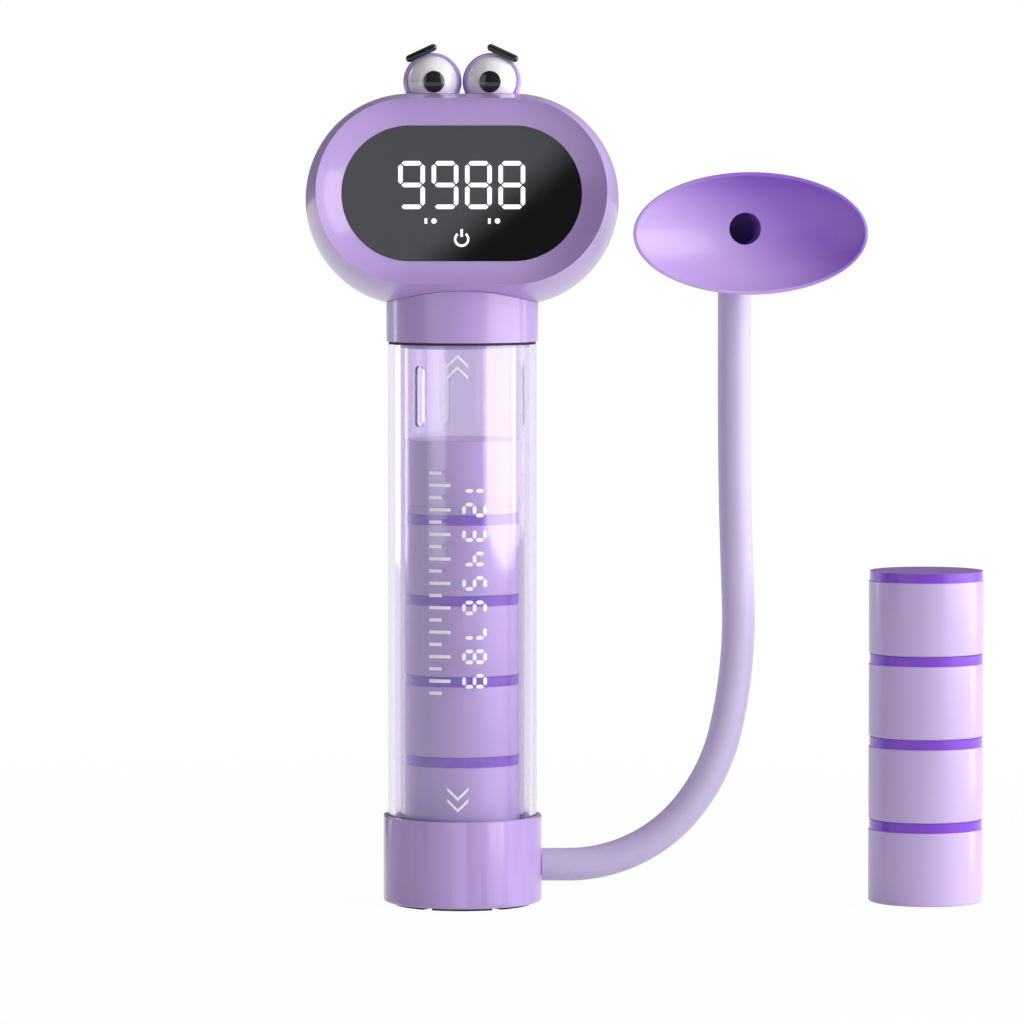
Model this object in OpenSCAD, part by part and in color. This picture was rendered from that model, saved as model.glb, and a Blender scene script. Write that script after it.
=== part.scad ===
// Inspiratory muscle trainer: a clear double tube with a stack of weights that the
// breath lifts, a counter head on top, a breathing hose with an oval mouthpiece, and
// a second set of weights that stands beside it.
// Millimetres. +Z is up, -Y is the front, and the origin is on the surface under the
// tube's axis.

/* [Clear tubes] */
// Outside radius of the outer tube
tube_r = 22.3; // [21.5:0.1:24]
// Wall of the outer tube
tube_wall = 2; // [1.6:0.1:2.2]
// Height of the outer tube's lower edge
tube_bottom_z = 16; // [15:0.5:17]
// Height of the outer tube's upper edge
tube_top_z = 168.4; // [150:0.1:190]
// Bore radius of the inner sleeve that guides the weights
sleeve_bore_r = 17.6; // [17:0.1:17.9]
// Wall of the inner sleeve
sleeve_wall = 1; // [0.8:0.1:1.1]
// How far the sleeve stands above the outer tube's upper edge
sleeve_rise = 0.5; // [0.2:0.1:0.7]
// Width of each air slot near the sleeve's top
slot_w = 3; // [1.6:0.1:4]
// Height of each air slot
slot_h = 18.3; // [10:0.1:22]
// Distance from the sleeve's top down to the air slots
slot_drop = 6.6; // [5:0.1:12]

/* [Weights in the tube] */
// Height at which the stack of weights rests
rest_z = 21.3; // [20:0.1:24]
// Pitch of the weights in the tube
weight_h = 24.12; // [20:0.01:25]
// Height of the piston head on top of the weights
piston_h = 22.2; // [18:0.1:26]
// Clearance between a weight and the sleeve's bore
weight_gap = 0.35; // [0.25:0.05:0.5]
// Thickness of the coloured disc on each weight
disc_t = 2.9; // [2:0.1:3.5]
// How far the disc's edge stands inside the weight's side
disc_inset = 0.25; // [0.1:0.05:0.5]
// Depth of the plug that holds a disc in its weight
disc_plug = 1.2; // [0.8:0.1:2]
// Side wall of a weight's shell
weight_wall = 2.3; // [1.5:0.1:3]
// Floor of a weight's shell
weight_floor = 2; // [1.2:0.1:3]
// Rounding of a weight's lower edge
weight_foot_fillet = 0.7; // [0.3:0.1:1.2]
// Rounding of a weight's upper edge
weight_top_fillet = 0.4; // [0.2:0.1:0.8]
// Wall of the hollow piston head
piston_wall = 1.8; // [1.2:0.1:2.5]
// Height of the piston's seal ring
piston_seal_h = 1.2; // [0.8:0.1:1.6]
// Running clearance of the piston's seal ring in the sleeve
piston_seal_gap = 0.08; // [0.05:0.01:0.1]

/* [Spare weights] */
// Distance from the tube's axis to the spare weights' axis
spare_x = 139.7; // [132:0.1:160]
// Distance of the spare weights' axis behind the tube's axis
spare_back = 6; // [0:0.5:20]
// Pitch of the spare weights
spare_h = 25; // [20:0.1:30]

/* [Base] */
// Height of the cup's rim
cup_top_z = 26.8; // [25:0.1:32]
// Thickness of the cup outside the tube, at the crest of a lobe
cup_skirt = 1.7; // [1.3:0.05:2]
// Radius of each lobe of the cup
lobe_r = 17; // [15:0.5:20]
// Gap between the surface and the cup's lower edge
cup_lift = 0.8; // [0.5:0.1:1.1]
// Rounding of the cup's lower edge
cup_foot_fillet = 1.6; // [0.8:0.1:2]
// Rounding of the cup's rim
cup_rim_fillet = 0.5; // [0.3:0.05:0.7]
// Thickness of the soft sole under the base
sole_t = 1.2; // [1.1:0.1:1.6]
// Thickness of the plate that closes the base
plate_t = 2.5; // [2.3:0.1:3]
// Thickness of the ledge between the plate and the tube seat
ledge_t = 1.5; // [1.2:0.1:2]
// Thickness of the tube seat's flange
flange_t = 2; // [1.5:0.1:2.5]
// Thickness of the soft ring that the weights land on
landing_t = 1.5; // [1:0.1:2]
// Radius of the air inlet through the tube seat
inlet_r = 12; // [9:0.5:12.5]
// Thickness of the gasket under the outer tube
gasket_t = 1; // [0.8:0.1:1.5]
// Radius of the bayonet pins in the cup
pin_r = 1.2; // [0.9:0.1:1.5]
// Height of the bayonet pins above the tube's lower edge
pin_rise = 4.5; // [4:0.1:5.5]
// Turn that frees the tube from the bayonet pins
twist_turn = 30; // [20:1:40]

/* [Hose] */
// Outside radius of the hose
hose_r = 4.9; // [4.4:0.1:5.2]
// Bore radius of the hose
hose_bore_r = 3.2; // [2.9:0.1:3.4]
// Height of the hose's lower end
hose_z = 11.7; // [11.2:0.1:12.2]
// Straight stretch where the hose leaves the cup
hose_lead = 8; // [7:0.5:12]
// Radius of the hose's lower bend
hose_low_bend_r = 46; // [40:1:60]
// Turn of the hose's lower bend
hose_low_turn = 51; // [40:1:60]
// Radius of the hose's middle bend
hose_mid_bend_r = 58; // [50:1:80]
// Turn of the hose's middle bend
hose_mid_turn = 26; // [20:1:30]
// Radius of the hose's upper bend
hose_high_bend_r = 150; // [120:5:180]
// Turn of the hose's upper bend, which leans it back a little
hose_high_turn = 15.4; // [11:0.2:18]
// Radius of the long bend that sets the hose upright again
hose_back_bend_r = 1450; // [1200:50:1600]
// Straight stretch at the hose's upper end
hose_neck = 32.5; // [24:0.5:40]

/* [Mouthpiece] */
// Half width of the oval bowl
bowl_half_w = 35.4; // [30:0.1:38]
// Half height of the oval bowl
bowl_half_h = 18.2; // [16:0.1:21]
// Depth of the bowl
bowl_depth = 10; // [7:0.5:12]
// Wall of the bowl
bowl_wall = 1.2; // [1:0.1:1.6]
// Distance from the hose's axis forward to the bowl's rim
bowl_reach = 28; // [27:0.5:32]
// How far the bowl's middle lies below its port
bowl_drop = 1.3; // [0:0.1:2]
// Radius of the port in the bowl
port_r = 4.8; // [4.6:0.1:5.2]
// Height of the port above the hose's upper end
port_rise = 17.6; // [16.5:0.1:22]
// Turn of the mouthpiece away from straight ahead
mouth_yaw = 8; // [0:1:12]
// Bend radius of the elbow behind the bowl
elbow_bend_r = 10; // [8.5:0.5:11]
// Wall of the elbow
elbow_wall = 1.4; // [1:0.1:1.6]

/* [Head] */
// Height of the middle of the head
head_z = 211.4; // [208:0.1:240]
// Backward tilt of the head
head_tilt = 6.5; // [0:0.5:9]
// Distance between the centres of the head's round ends
head_flat = 30.9; // [26:0.1:40]
// Radius of the head's round ends at their widest
head_r = 31.35; // [28:0.05:34]
// Depth of the head in front of its widest section
head_front = 25; // [23:0.5:27]
// Depth of the head behind its widest section
head_back = 26; // [25:0.5:30]
// Rounding between the head's side and its back
head_corner_r = 14; // [10:0.5:15]
// Wall of the head's shells
head_wall = 2; // [1.6:0.1:2.4]
// How far the front edge lies inside the head's widest outline
crease_inset = 3.75; // [3:0.05:5]
// Rounding of the front edge
crease_fillet = 1.1; // [0.6:0.1:1.5]
// Hollow radius of the scooped ring
dish_r = 25; // [18:1:40]
// Depth of the scooped ring from the front edge to the window
dish_depth = 6.5; // [5.5:0.1:7.5]
// Width of the scooped ring between the front edge and the window
ring_w = 7.5; // [6.5:0.1:8]
// Thickness of the window
window_t = 2; // [1.5:0.1:2.4]

/* [Display] */
// Height of a lit digit
digit_h = 14.3; // [11:0.1:15]
// Width of a lit digit
digit_w = 7.95; // [6:0.05:8.5]
// Pitch of the lit digits
digit_pitch = 9.9; // [9:0.1:11]
// Stroke of a lit digit
digit_stroke = 1.35; // [1:0.05:1.8]
// Height of the digits above the middle of the window
digit_rise = 2.5; // [0:0.1:2.8]
// Height of the small marks above the power key
mark_rise = 5.4; // [4.5:0.1:6]
// Distance from the window's lower edge up to the middle of the power key
key_edge = 6.5; // [5:0.1:8]
// Outside radius of the power key's ring
key_r = 2.3; // [2:0.1:2.8]

/* [Eyes] */
// Radius of the coloured shell behind each eye
eye_r = 8.7; // [8:0.1:9.2]
// Distance from the head's middle to each eye
eye_x = 8.85; // [8.8:0.05:10]
// Height of the eyes above the head's top
eye_rise = 3.5; // [3:0.1:6]
// Distance of the eyes in front of the head's widest section
eye_forward = 5; // [2:0.5:8]
// Thickness of the shell behind each eye
eye_shell_t = 0.5; // [0.4:0.05:0.8]
// Radius of a pupil
pupil_r = 3.2; // [2.6:0.1:3.8]
// Length of a brow
brow_len = 10; // [7:0.1:11]
// Radius of a brow's round bar
brow_r = 1.1; // [0.7:0.05:1.3]
// Slope of a brow
brow_slope = 25; // [15:0.5:35]

/* [Hidden] */
$fn = 72;

// Overrun of every cut past the face it opens
overrun = 1;
// Gap between flat faces of pieces that come apart
face_gap = 0.05;
// Radial clearance of pieces that are pushed together
push_fit = 0.1;
// Radial clearance of pieces that turn on each other
turn_fit = 0.08;

// Colours
purple = [0.66, 0.52, 0.86];
pale_purple = [0.78, 0.68, 0.90];
deep_purple = [0.52, 0.26, 0.86];
soft_purple = [0.80, 0.72, 0.92];
clear_tint = [0.88, 0.86, 0.95, 0.35];
near_black = [0.05, 0.05, 0.06];
near_white = [0.94, 0.94, 0.95];
board_green = [0.10, 0.38, 0.24];
steel_grey = [0.72, 0.73, 0.75];

// Tubes
tube_bore_r = tube_r - tube_wall;
sleeve_r = sleeve_bore_r + sleeve_wall;
sleeve_top_z = tube_top_z + sleeve_rise;
sleeve_slots = 3;
slot_turn = 228;

// Weights
tube_weights = 4;
weight_r = sleeve_bore_r - weight_gap;
slug_r = weight_r - weight_wall - push_fit;
piston_z = rest_z + tube_weights * weight_h;
stack_top_z = piston_z + piston_h;

// Base
tube_fit = 0.15;
cup_bore_r = tube_r + tube_fit;
cup_r = cup_bore_r + cup_skirt;
cup_lobes = 8;
lobe_turn = 25.7;
chamber_r = tube_bore_r + push_fit;
plate_rim = 1;
plate_r = chamber_r + plate_rim;
ledge_w = 1.5;
plate_z = sole_t;
ledge_z = plate_z + plate_t;
flange_z = ledge_z + ledge_t;
sleeve_z = flange_z + flange_t;
hub_r = sleeve_bore_r - push_fit;
hub_top_z = rest_z - landing_t;
gasket_z = tube_bottom_z - gasket_t;
sole_inset = 0.8;
sole_r = plate_r - sole_inset;
inlet_holes = 6;
inlet_hole_r = 1.8;
inlet_ring_r = 8.5;
sole_core_r = 6;
channel_w = 3;
channel_depth = 0.8;
ring_groove_z = 4.2;
ring_r = 0.75;
filter_r = inlet_r + ring_r / 2;
landing_bore_r = inlet_r + ring_r;
base_screw_count = 3;
screw_r = 1;
screw_head_r = 2;
screw_head_h = 1.1;
screw_key_r = 0.9;
screw_key_depth = 0.7;
base_screw_ring_r = (inlet_r + hub_r) / 2;
base_screw_len = 9;
bayonet_pins = 3;
pin_root = 0.5;
pin_z = tube_bottom_z + pin_rise;
pin_slot_w = 2 * (pin_r + 2 * push_fit);
pin_slot_end = asin(pin_slot_w / 2 / sleeve_r);

// Hose: where it starts and how its bends follow each other
hose_pad = 0.45;
hose_start_x = cup_r - hose_pad;
hose_seam = 0.15;
hose_lap = 0.4;
hose_step = 0.02;
hose_back_turn = 90 - hose_low_turn - hose_mid_turn - hose_high_turn;
spigot_r = hose_bore_r - turn_fit;
spigot_wall = 0.9;
spigot_len = hose_lead - overrun;
hose_bends = [
    [hose_low_bend_r, hose_low_turn],
    [hose_mid_bend_r, hose_mid_turn],
    [hose_high_bend_r, hose_high_turn],
    [hose_back_bend_r, hose_back_turn]
];
hose_first = [hose_start_x + hose_seam + hose_lead, hose_z, 0];

// Place and heading after a bend of radius b[0] and turn b[1] that starts at p
function past_bend(p, b) =
    let (side = sign(b[1]), turned = p[2] + b[1])
    [
        p[0] + side * b[0] * (sin(turned) - sin(p[2])),
        p[1] - side * b[0] * (cos(turned) - cos(p[2])),
        turned
    ];

// Place and heading where bend number i starts
function bend_start(i) = i == 0 ? hose_first : past_bend(bend_start(i - 1), hose_bends[i - 1]);

hose_last = bend_start(len(hose_bends));
hose_end_x = hose_last[0];
hose_end_z = hose_last[1] + hose_neck;

// Mouthpiece
port_z = hose_end_z + port_rise;
elbow_r = port_r + elbow_wall;
elbow_z = hose_end_z + hose_seam;
elbow_floor = 1.6;
mouth_spigot_len = 8;
bowl_back = bowl_reach - bowl_depth;
bowl_aspect = bowl_half_w / bowl_half_h;
bowl_in_aspect = (bowl_half_w - bowl_wall) / (bowl_half_h - bowl_wall);
rim_chamfer = 0.4;
socket_r = elbow_r + push_fit;
socket_end = bowl_back - 2;
neck_wall = 1.5;
funnel_neck_back = elbow_bend_r + 0.5;

// Radius of the arc that rises by rise over half width half
function arc_r(half, rise) = (half * half + rise * rise) / 2 / rise;

bowl_in_r = arc_r(bowl_half_h - bowl_wall, bowl_depth);
bowl_out_r = arc_r(bowl_half_h, bowl_depth + bowl_wall);

// Head: the side is one large arc, the back corner is tangent to it
crease_r = head_r - crease_inset;
window_r = crease_r - ring_w;
barrel_drop = crease_inset;
barrel_r = arc_r(head_front, barrel_drop);
barrel_x = head_r - barrel_r;
corner_a = head_corner_r - head_back;
corner_x = barrel_x + sqrt(pow(barrel_r - head_corner_r, 2) - pow(corner_a, 2));
corner_turn = atan2(corner_a, corner_x - barrel_x);

// Point on the back corner where the side's arc takes over, at an inset
function corner_end(inset) =
    [corner_x, corner_a] + (head_corner_r - inset) * [cos(corner_turn), sin(corner_turn)];

// Scooped ring: an arc from the front edge down to the window
dish_run = [window_r - crease_r, -dish_depth];
dish_len = norm(dish_run);
dish_side = [dish_run[1], -dish_run[0]] / dish_len;
dish_mid = [(crease_r + window_r) / 2, head_front - dish_depth / 2];
dish_c = dish_mid + dish_side * sqrt(pow(dish_r, 2) - pow(dish_len / 2, 2));

// Rounding of the front edge: a small circle that touches the side and the ring
tip_link = [dish_c[0] - barrel_x, dish_c[1]];
tip_gap = norm(tip_link);
tip_side = barrel_r - crease_fillet;
tip_dish = dish_r + crease_fillet;
tip_along = (pow(tip_side, 2) - pow(tip_dish, 2) + pow(tip_gap, 2)) / 2 / tip_gap;
tip_off = sqrt(pow(tip_side, 2) - pow(tip_along, 2));
tip_u = tip_link / tip_gap;
tip_c = [barrel_x, 0] + tip_u * tip_along + [tip_u[1], -tip_u[0]] * tip_off;
tip_on_side = [barrel_x, 0] + (tip_c - [barrel_x, 0]) / tip_side * barrel_r;
tip_on_dish = dish_c + (tip_c - dish_c) / tip_dish * dish_r;
tip_out = (tip_on_dish - tip_on_side) / norm(tip_on_dish - tip_on_side);
tip_up = [tip_out[1], -tip_out[0]] * crease_fillet * (tip_out[0] < 0 ? -2 : 2);

// Inside the head
window_fit = 0.1;
window_sink = 0.25;
window_a = head_front - dish_depth - window_sink;
window_seat_a = window_a - window_t;
window_ledge_w = 1.5;
window_ledge_t = 1.5;
window_ledge_a = window_seat_a - window_ledge_t;
tongue_t = 0.9;
tongue_h = 1.6;
tongue_r = head_r - head_wall - push_fit;
boss_r = 3.3;
boss_inset = 6.85;
boss_ring_r = head_r - boss_inset;
boss_turn = 45;
boss_x = head_flat / 2 + boss_ring_r * cos(boss_turn);
boss_z = boss_ring_r * sin(boss_turn);
head_screw_r = 1.1;
head_screw_head_r = 2.1;
head_screw_head_h = 1.6;
head_screw_seat = 17;
head_screw_len = 25;
board_t = 1.6;
display_board_r = window_r + 1.1;
display_board_a = window_ledge_a - face_gap;
display_board_back_a = display_board_a - board_t;
module_t = window_seat_a - display_board_a - 2 * face_gap;
module_w = 4 * digit_pitch + digit_stroke;
module_h = digit_h + 2 * digit_stroke;
main_board_w = 58;
main_board_h = 28;
main_board_post_h = 3.4;
post_r = 1.8;
post_x = main_board_w / 2 - post_r;
post_z = main_board_h / 2 - post_r;
main_board_back_a = main_board_post_h + head_wall - head_back;
main_board_front_a = main_board_back_a + board_t;
battery_w = 38;
battery_h = 24;
battery_t = 6;
board_edge = 2;
battery_x = (main_board_w - battery_w) / 2 - board_edge;
battery_corner_r = 2;
buzzer_r = 5.5;
buzzer_h = 3.5;
buzzer_in = 1.5;
buzzer_x = buzzer_r + board_edge + buzzer_in - main_board_w / 2;
usb_w = 9.2;
usb_h = 3.4;
usb_wall = 0.35;
usb_slit = 0.2;
usb_x = 0;
usb_fit = 0.2;
ribbon_w = 12;
ribbon_t = 0.3;
ribbon_x = buzzer_x;
ribbon_z = battery_h / 2 + ribbon_t;
touch_r = 2.4;
touch_wire = 0.6;

// Neck
seal_t = 0.8;
seal_inset = 0.3;
collar_proud = 0.4;
collar_r = tube_r + collar_proud;
collar_z = tube_top_z + seal_t;
collar_spigot_h = 1.6;
collar_spigot_r = tube_bore_r - push_fit;
collar_guide_r = sleeve_r + turn_fit;
neck_r = 14;
neck_bore_r = 8;
neck_flange_r = 16.5;
neck_in = 7.45;
neck_top_z = head_z - head_r + neck_in;
seam_gap = 0.1;
sensor_board_r = 11.8;
sensor_pocket_h = 3.4;
sensor_r = 1.5;
sensor_h = 2.6;
sensor_x = 5;
bumper_drop = 2.1;
bumper_r = sleeve_bore_r - 3 * push_fit;

// Display marks
mark_t = 0.12;
key_drop = window_r - key_edge;
mark_drop = key_drop - mark_rise;
segment_gap = 0.3;
mark_size = 1.6;
mark_x = 9.4;
mark_pitch = 2.4;
key_stroke = 0.7;
key_gap_turn = 38;
key_bar_h = 2.3;
key_bar_w = 0.75;
// Segments lit in each digit, from left to right: top, upper right, lower right,
// bottom, lower left, upper left, middle
DIGITS = [
    [1, 1, 1, 1, 0, 1, 1],
    [1, 1, 1, 1, 0, 1, 1],
    [1, 1, 1, 1, 1, 1, 1],
    [1, 1, 1, 1, 1, 1, 1]
];

// Printed scale on the tube: plain numbers that run down the tube, and ticks
print_t = 0.12;
scale_bottom_z = 65.2;
scale_top_z = 130.7;
scale_numbers = [
    [0, 1, 1, 0, 0, 0, 0],
    [1, 1, 0, 1, 1, 0, 1],
    [1, 1, 1, 1, 0, 0, 1],
    [0, 1, 1, 0, 0, 1, 1],
    [1, 0, 1, 1, 0, 1, 1],
    [1, 0, 1, 1, 1, 1, 1],
    [1, 1, 1, 0, 0, 0, 0],
    [1, 1, 1, 1, 1, 1, 1],
    [1, 1, 1, 1, 0, 1, 1]
];
scale_pitch = (scale_top_z - scale_bottom_z) / len(scale_numbers);
number_h = 7.4;
number_w = 4.4;
number_stroke = 1.15;
number_x = 3.8;
tick_x = -9.7;
tick_long = 6.4;
tick_short = 3.8;
tick_w = 1;
arrow_x = -1.2;
arrow_w = 6.3;
arrow_rise = 3.1;
arrow_stroke = 1;
arrow_pitch = 3.4;
arrow_low_z = 29.7;
arrow_high_z = 158.4;

// Eyes
eye_z = head_r + eye_rise;
eye_lean = asin(eye_forward / barrel_r);
eyeball_r = eye_r - eye_shell_t - face_gap;
eye_open = 3.6;
pupil_x = 8.3;
pupil_drop = 0.9;
pupil_t = 0.35;
brow_x = 3.3;
brow_z = 8.1;

// Section of a turned solid with a rounded upper and lower edge
module turned_section(radius, low, high, low_fillet, high_fillet)
{
    translate([0, low])
        square([radius - low_fillet, high - low - high_fillet]);
    translate([0, low + low_fillet])
        square([radius, high - low - low_fillet - high_fillet]);
    translate([0, low])
        square([radius - high_fillet - low_fillet, high - low]);
    translate([0, high - high_fillet - low_fillet])
        square([radius - high_fillet, high_fillet + low_fillet]);
    translate([radius - low_fillet, low + low_fillet])
        circle(r = low_fillet);
    translate([radius - high_fillet, high - high_fillet])
        circle(r = high_fillet);
}

// Ring between two radii and two heights
module ring(outer, inner, low, high)
{
    difference() {
        translate([0, 0, low])
            cylinder(r = outer, h = high - low);
        translate([0, 0, low - overrun])
            cylinder(r = inner, h = high - low + 2 * overrun);
    }
}

// Copies round the axis
module around(count, start)
{
    for (i = [0 : count - 1])
        rotate([0, 0, start + i * 360 / count])
            children();
}

// Base

module lobed_body()
{
    intersection() {
        around(cup_lobes, lobe_turn)
            translate([cup_r - lobe_r, 0, 0])
                cylinder(r = lobe_r, h = cup_top_z + overrun);
        rotate_extrude()
            turned_section(cup_r, cup_lift, cup_top_z, cup_foot_fillet, cup_rim_fillet);
    }
}

module base_cup()
{
    color(purple) {
        difference() {
            union() {
                lobed_body();
                translate([chamber_r, 0, hose_z])
                    rotate([0, 90, 0])
                        cylinder(r = hose_r, h = hose_start_x - chamber_r);
            }
            translate([0, 0, cup_lift - overrun])
                cylinder(r = plate_r + push_fit, h = ledge_z - cup_lift + overrun);
            translate([0, 0, ledge_z - overrun])
                cylinder(r = chamber_r - ledge_w, h = ledge_t + 2 * overrun);
            translate([0, 0, flange_z])
                cylinder(r = chamber_r, h = cup_top_z);
            translate([0, 0, gasket_z])
                cylinder(r = cup_bore_r, h = cup_top_z);
            translate([0, 0, hose_z])
                rotate([0, 90, 0])
                    cylinder(r = spigot_r + turn_fit, h = cup_r + overrun);
        }
        around(bayonet_pins, -90)
            translate([tube_bore_r + pin_root, 0, pin_z])
                rotate([0, 90, 0])
                    cylinder(r = pin_r, h = cup_bore_r - tube_bore_r);
    }
}

module inlet_cuts(low, high)
{
    around(inlet_holes, 0)
        translate([inlet_ring_r, 0, low])
            cylinder(r = inlet_hole_r, h = high - low);
}

module base_plate()
{
    color(pale_purple)
        difference() {
            translate([0, 0, plate_z])
                cylinder(r = plate_r, h = plate_t - face_gap);
            inlet_cuts(plate_z - overrun, ledge_z + overrun);
            around(base_screw_count, 90)
                translate([base_screw_ring_r, 0, 0]) {
                    cylinder(r = screw_r + push_fit, h = flange_z);
                    cylinder(r = screw_head_r + push_fit, h = plate_z + screw_head_h + push_fit);
                }
        }
}

module foot_sole()
{
    color(near_black)
        difference() {
            cylinder(r = sole_r, h = sole_t - face_gap);
            inlet_cuts(-overrun, sole_t + overrun);
            around(inlet_holes, 0)
                translate([sole_core_r, -channel_w / 2, -overrun])
                    cube([sole_r, channel_w, channel_depth + overrun]);
        }
}

// Screw with its head down at the origin and its shaft up
module screw_up(shaft, head_r, head_h, length)
{
    difference() {
        union() {
            cylinder(r = head_r, h = head_h);
            cylinder(r = shaft, h = length);
        }
        translate([0, 0, -overrun])
            cylinder(r = screw_key_r, h = screw_key_depth + overrun, $fn = 6);
    }
}

module base_screws()
{
    color(steel_grey)
        around(base_screw_count, 90)
            translate([base_screw_ring_r, 0, plate_z + face_gap])
                screw_up(screw_r, screw_head_r, screw_head_h, base_screw_len);
}

module tube_seat()
{
    color(pale_purple)
        difference() {
            union() {
                translate([0, 0, flange_z])
                    cylinder(r = chamber_r - push_fit, h = flange_t);
                translate([0, 0, flange_z])
                    cylinder(r = hub_r, h = hub_top_z - flange_z);
            }
            translate([0, 0, flange_z - overrun])
                cylinder(r = inlet_r, h = hub_top_z);
            ring(hub_r + overrun, sleeve_bore_r - 2 * ring_r - 2 * face_gap, sleeve_z + ring_groove_z - ring_r - face_gap,
                 sleeve_z + ring_groove_z + ring_r + face_gap);
            around(base_screw_count, 90)
                translate([base_screw_ring_r, 0, flange_z - overrun])
                    cylinder(r = screw_r + face_gap, h = base_screw_len - plate_t + overrun);
        }
}

module seat_o_ring()
{
    color(near_black)
        translate([0, 0, sleeve_z + ring_groove_z])
            rotate_extrude()
                translate([sleeve_bore_r - face_gap - ring_r, 0])
                    circle(r = ring_r);
}

module landing_ring()
{
    color(near_white)
        ring(hub_r - push_fit, landing_bore_r, hub_top_z, rest_z - face_gap);
}

module inlet_filter()
{
    color(near_white)
        translate([0, 0, ledge_z])
            cylinder(r = filter_r, h = ledge_t - face_gap);
}

module tube_gasket()
{
    color(near_black)
        ring(tube_r, tube_bore_r + push_fit, gasket_z, tube_bottom_z - face_gap);
}

module hose_spigot()
{
    color(pale_purple)
        translate([chamber_r, 0, hose_z])
            rotate([0, 90, 0])
                difference() {
                    cylinder(r = spigot_r, h = hose_start_x + spigot_len - chamber_r);
                    translate([0, 0, -overrun])
                        cylinder(r = spigot_r - spigot_wall,
                                 h = hose_start_x + spigot_len - chamber_r + 2 * overrun);
                }
}

// Clear tubes

module inner_tube()
{
    slot_top_z = sleeve_top_z - slot_drop - slot_w / 2;
    slot_low_z = sleeve_top_z - slot_drop - slot_h + slot_w / 2;
    color(clear_tint)
        difference() {
            ring(sleeve_r, sleeve_bore_r, sleeve_z, sleeve_top_z);
            around(sleeve_slots, slot_turn) {
                for (end_z = [slot_low_z, slot_top_z])
                    translate([hub_r - overrun, 0, end_z])
                        rotate([0, 90, 0])
                            cylinder(r = slot_w / 2, h = sleeve_wall + 3 * overrun);
                translate([hub_r - overrun, -slot_w / 2, slot_low_z])
                    cube([sleeve_wall + 3 * overrun, slot_w, slot_top_z - slot_low_z]);
            }
        }
}

module outer_tube()
{
    color(clear_tint)
        difference() {
            ring(tube_r, tube_bore_r, tube_bottom_z, tube_top_z);
            around(bayonet_pins, -90) {
                translate([0, 0, pin_z - pin_slot_w / 2])
                    rotate([0, 0, -twist_turn - pin_slot_end])
                        rotate_extrude(angle = twist_turn + 2 * pin_slot_end)
                            translate([tube_bore_r - overrun, 0])
                                square([tube_wall + 2 * overrun, pin_slot_w]);
                rotate([0, 0, -twist_turn])
                    translate([tube_bore_r - overrun, -pin_slot_w / 2, tube_bottom_z - overrun])
                        cube([tube_wall + 2 * overrun, pin_slot_w, pin_rise + overrun]);
            }
        }
}

// Print: a thin skin on the front of the outer tube, cut to a flat outline
module printed_on_tube()
{
    intersection() {
        ring(tube_r + print_t, tube_r, cup_top_z, tube_top_z);
        rotate([90, 0, 0])
            linear_extrude(height = tube_r + overrun)
                children();
    }
}

// Outline of one segment of length len, lying along x from the origin
module segment(len, stroke)
{
    half = stroke / 2;
    polygon([
        [segment_gap, 0], [half + segment_gap, half], [len - half - segment_gap, half],
        [len - segment_gap, 0], [len - half - segment_gap, -half], [half + segment_gap, -half]
    ]);
}

// Digit of height h and width w, its lower left corner at the origin
module digit(lit, h, w, stroke)
{
    left = stroke / 2;
    right = w - stroke / 2;
    low = stroke / 2;
    middle = h / 2;
    high = h - stroke / 2;
    across = [[left, high, 0, 0], [left, low, 0, 3], [left, middle, 0, 6]];
    upright = [[right, middle, 1], [right, low, 2], [left, low, 4], [left, middle, 5]];
    for (bar = across)
        if (lit[bar[3]] == 1)
            translate([bar[0], bar[1]])
                segment(right - left, stroke);
    for (bar = upright)
        if (lit[bar[2]] == 1)
            translate([bar[0], bar[1]])
                rotate(90)
                    segment(middle - low, stroke);
}

module tube_scale()
{
    color(near_white)
        printed_on_tube() {
            for (i = [0 : len(scale_numbers) - 1])
                translate([number_x + number_h / 2, scale_top_z - (i + 0.5) * scale_pitch + number_w / 2])
                    rotate(-90)
                        translate([0, -number_h])
                            digit(scale_numbers[i], number_h, number_w, number_stroke);
            for (i = [0 : 2 * len(scale_numbers)])
                translate([tick_x, scale_bottom_z + i * scale_pitch / 2 - tick_w / 2])
                    square([i % 2 == 0 ? tick_short : tick_long, tick_w]);
        }
}

// Chevron that points up, its lower ends on the x axis
module chevron()
{
    half = arrow_w / 2;
    polygon([
        [-half, 0], [0, arrow_rise], [half, 0], [half, arrow_stroke],
        [0, arrow_rise + arrow_stroke], [-half, arrow_stroke]
    ]);
}

module flow_arrows()
{
    color(near_white)
        printed_on_tube()
            for (i = [0, 1]) {
                translate([arrow_x, arrow_high_z + i * arrow_pitch])
                    chevron();
                translate([arrow_x, arrow_low_z + arrow_rise + arrow_stroke + i * arrow_pitch])
                    mirror([0, 1])
                        chevron();
            }
}

// Neck

module neck_seal()
{
    color(near_black)
        ring(tube_r - seal_inset, collar_spigot_r + push_fit, tube_top_z + face_gap, collar_z - face_gap);
}

module neck_collar()
{
    color(purple)
        difference() {
            union() {
                difference() {
                    translate([0, 0, collar_z])
                        cylinder(r = collar_r, h = head_z - collar_z);
                    head_solid(-seam_gap);
                }
                ring(collar_spigot_r, collar_guide_r, collar_z - collar_spigot_h, collar_z + overrun);
                translate([0, 0, collar_z])
                    cylinder(r = neck_r, h = neck_top_z - collar_z);
                intersection() {
                    translate([0, 0, collar_z])
                        cylinder(r = neck_flange_r, h = neck_top_z - collar_z);
                    head_solid(head_r - tongue_r + tongue_t + push_fit);
                }
            }
            translate([0, 0, collar_z - overrun])
                cylinder(r = sensor_board_r + push_fit, h = sensor_pocket_h + overrun);
            translate([0, 0, collar_z - overrun])
                cylinder(r = neck_bore_r, h = head_z);
        }
}

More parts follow.
